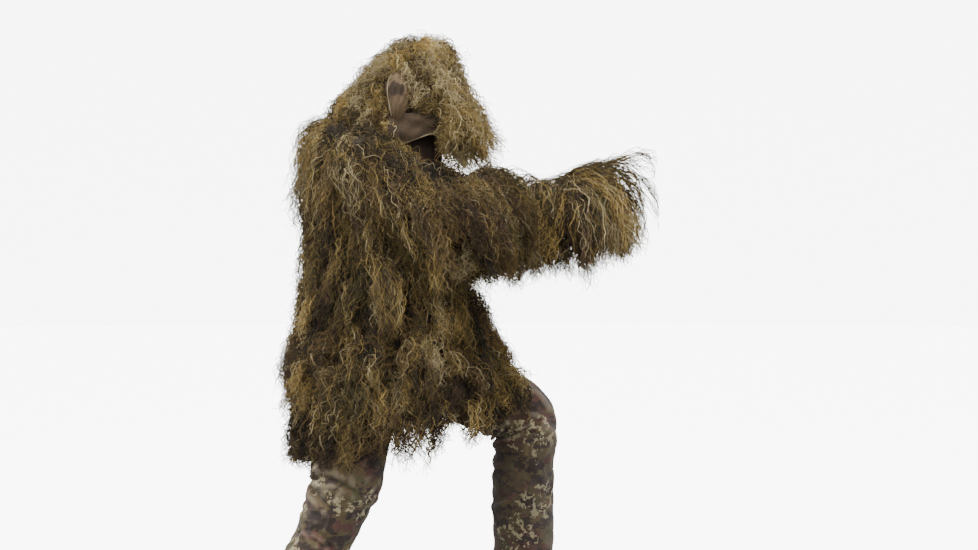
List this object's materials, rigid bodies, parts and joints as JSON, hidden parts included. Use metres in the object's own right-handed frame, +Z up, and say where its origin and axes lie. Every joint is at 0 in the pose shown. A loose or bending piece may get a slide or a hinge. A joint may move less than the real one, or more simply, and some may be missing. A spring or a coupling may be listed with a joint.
{
  "type": "ghillie suit",
  "caption": "Hooded camouflage jacket covered in hanging yarn, worn over plain camouflage trousers, held in a leaning stance.",
  "frame": {"origin": "the base of the wearer's neck, where the suit hangs on the wearer", "axes": "+X the way the wearer faces, +Y the wearer's left, +Z up"},
  "size_m": [1.1218, 0.743, 1.7219],
  "materials": {
    "yarn": "rough twisted jute yarn",
    "jacket_cloth": "woven cloth, matt",
    "lining": "dark woven cloth, matt",
    "camouflage_cloth": "printed ripstop cloth, matt",
    "zip_metal": "blackened, worn",
    "button": "matt"
  },
  "bodies": {
    "jacket": {"front_panel_left": "jacket_cloth", "front_panel_right": "jacket_cloth", "back_panel": "jacket_cloth", "yarn_yoke_front_left": "yarn", "yarn_yoke_back": "yarn", "yarn_yoke_front_right": "yarn", "yarn_chest_front_left": "yarn", "yarn_chest_back": "yarn", "yarn_chest_front_right": "yarn", "yarn_waist_front_left": "yarn", "yarn_waist_back": "yarn", "yarn_waist_front_right": "yarn", "yarn_skirt_front_left": "yarn", "yarn_skirt_back": "yarn", "yarn_skirt_front_right": "yarn", "hanger_loop": "lining", "collar": "lining", "seat_panel": "camouflage_cloth", "waistband": "camouflage_cloth", "belt_loop_1": "camouflage_cloth", "belt_loop_2": "camouflage_cloth", "belt_loop_3": "camouflage_cloth", "belt_loop_4": "camouflage_cloth", "belt_loop_5": "camouflage_cloth", "waist_button": "button", "zip_chain_left": "zip_metal", "zip_chain_right": "zip_metal", "zip_tape_left": "lining", "zip_tape_right": "lining", "zip_box": "zip_metal"},
    "hood": {"hood_shell": "jacket_cloth", "hood_yarn_crown": "yarn", "hood_yarn_brow": "yarn", "hood_yarn_left": "yarn", "hood_yarn_right": "yarn", "hood_ear_patch": "jacket_cloth"},
    "upper_sleeve_right": {"sleeve_upper_right": "jacket_cloth", "yarn_upper_right": "yarn"},
    "forearm_sleeve_right": {"sleeve_fore_right": "jacket_cloth", "yarn_fore_right": "yarn", "cuff_right": "jacket_cloth"},
    "upper_sleeve_left": {"sleeve_upper_left": "jacket_cloth", "yarn_upper_left": "yarn"},
    "forearm_sleeve_left": {"sleeve_fore_left": "jacket_cloth", "yarn_fore_left": "yarn", "cuff_left": "jacket_cloth"},
    "thigh_leg_right": {"thigh_right": "camouflage_cloth"},
    "shin_leg_right": {"shin_right": "camouflage_cloth", "hem_right": "camouflage_cloth"},
    "thigh_leg_left": {"thigh_left": "camouflage_cloth"},
    "shin_leg_left": {"shin_left": "camouflage_cloth", "hem_left": "camouflage_cloth"},
    "zip_slider": {"zip_slider": "zip_metal"},
    "zip_pull": {"zip_pull": "zip_metal"}
  },
  "joints": [
    {"name": "hood_tip", "type": "hinge", "parent": "jacket", "child": "hood", "pos_m": [-0.095, 0, 0.06], "axis": [0, -1, 0], "range_deg": [0, 30]},
    {"name": "shoulder_right", "type": "hinge", "parent": "jacket", "child": "upper_sleeve_right", "pos_m": [-0.04, -0.19, -0.045], "axis": [0, -1, 0], "range_deg": [-12, 12]},
    {"name": "elbow_right", "type": "hinge", "parent": "upper_sleeve_right", "child": "forearm_sleeve_right", "pos_m": [0.227, -0.3, -0.229], "axis": [0.3271, -0.5228, 0.7872], "range_deg": [-15, 10]},
    {"name": "shoulder_left", "type": "hinge", "parent": "jacket", "child": "upper_sleeve_left", "pos_m": [0.045, 0.19, -0.05], "axis": [0, -1, 0], "range_deg": [-12, 12]},
    {"name": "elbow_left", "type": "hinge", "parent": "upper_sleeve_left", "child": "forearm_sleeve_left", "pos_m": [0.33, 0.122, -0.228], "axis": [-0.2905, -0.9515, -0.1016], "range_deg": [-15, 10]},
    {"name": "hip_right", "type": "hinge", "parent": "jacket", "child": "thigh_leg_right", "pos_m": [-0.036, -0.105, -0.613], "axis": [0, -1, 0], "range_deg": [-8, 8]},
    {"name": "knee_right", "type": "hinge", "parent": "thigh_leg_right", "child": "shin_leg_right", "pos_m": [-0.098, -0.172, -0.985], "axis": [0, 1, 0], "range_deg": [-15, 15]},
    {"name": "hip_left", "type": "hinge", "parent": "jacket", "child": "thigh_leg_left", "pos_m": [-0.008, 0.105, -0.625], "axis": [0, -1, 0], "range_deg": [-8, 8]},
    {"name": "knee_left", "type": "hinge", "parent": "thigh_leg_left", "child": "shin_leg_left", "pos_m": [0.43, 0.166, -0.815], "axis": [0, 1, 0], "range_deg": [-15, 15]},
    {"name": "zip_slide", "type": "slide", "parent": "jacket", "child": "zip_slider", "axis": [0.3322, 0, -0.9432], "range_m": [0, 0.3]},
    {"name": "zip_pull_swing", "type": "hinge", "parent": "zip_slider", "child": "zip_pull", "pos_m": [0.11558, 0, -0.14453], "axis": [0, -1, 0], "range_deg": [0, 120]}
  ]
}
